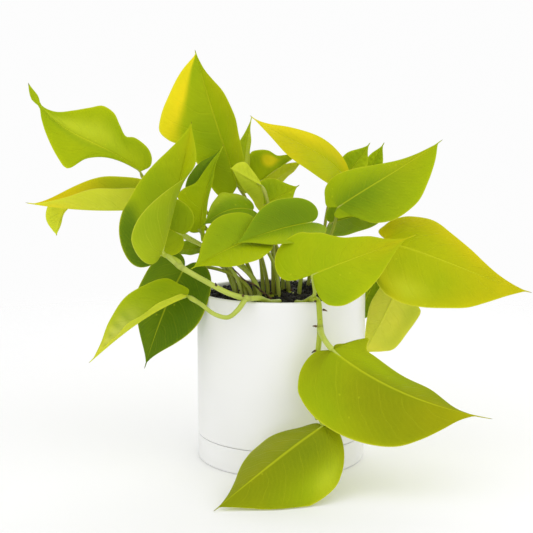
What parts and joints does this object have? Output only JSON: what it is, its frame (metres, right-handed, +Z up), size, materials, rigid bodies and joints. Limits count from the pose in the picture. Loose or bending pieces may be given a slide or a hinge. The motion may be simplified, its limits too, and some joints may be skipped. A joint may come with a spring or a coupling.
{
  "type": "potted pothos plant",
  "caption": "Golden-leaved pothos in a straight white planter with a flush saucer, with upright and trailing leaves.",
  "frame": {"origin": "centre of the saucer's underside, on the surface it stands on", "axes": "+Z up along the planter's axis, -Y towards the front, where the trailing vine hangs"},
  "size_m": [0.378, 0.1988, 0.315],
  "materials": {
    "planter": "satin",
    "soil": "matte",
    "stem": "satin",
    "leaf": "satin"
  },
  "bodies": {
    "root": {"pot": "planter", "saucer": "planter", "soil": "soil", "vine_trailing": "stem", "vine_left": "stem", "stems_left": "stem", "stems_centre_left": "stem", "stems_centre": "stem", "stems_right": "stem", "stems_back": "stem", "leaf_far_left": "leaf", "leaf_left_folded": "leaf", "leaf_left_pale": "leaf", "leaf_tall_front": "leaf", "leaf_behind_tall": "leaf", "leaf_top": "leaf", "leaf_top_sliver": "leaf", "leaf_dark_small": "leaf", "leaf_bright_small": "leaf", "leaf_trumpet": "leaf", "leaf_curled": "leaf", "leaf_curled_back": "leaf", "leaf_mid_right": "leaf", "leaf_yellow": "leaf", "leaf_back_small": "leaf", "leaf_back_sliver": "leaf", "leaf_right_high": "leaf", "leaf_right_under": "leaf", "leaf_right_low": "leaf", "leaf_heart": "leaf", "leaf_centre_dark": "leaf", "leaf_centre_front": "leaf", "leaf_left_low": "leaf", "leaf_left_shade": "leaf", "leaf_trailing_right": "leaf", "leaf_trailing_table": "leaf", "leaf_back_pale": "leaf", "leaf_back_green": "leaf", "leaf_grey_small": "leaf", "leaf_centre_arch": "leaf"}
  },
  "joints": []
}
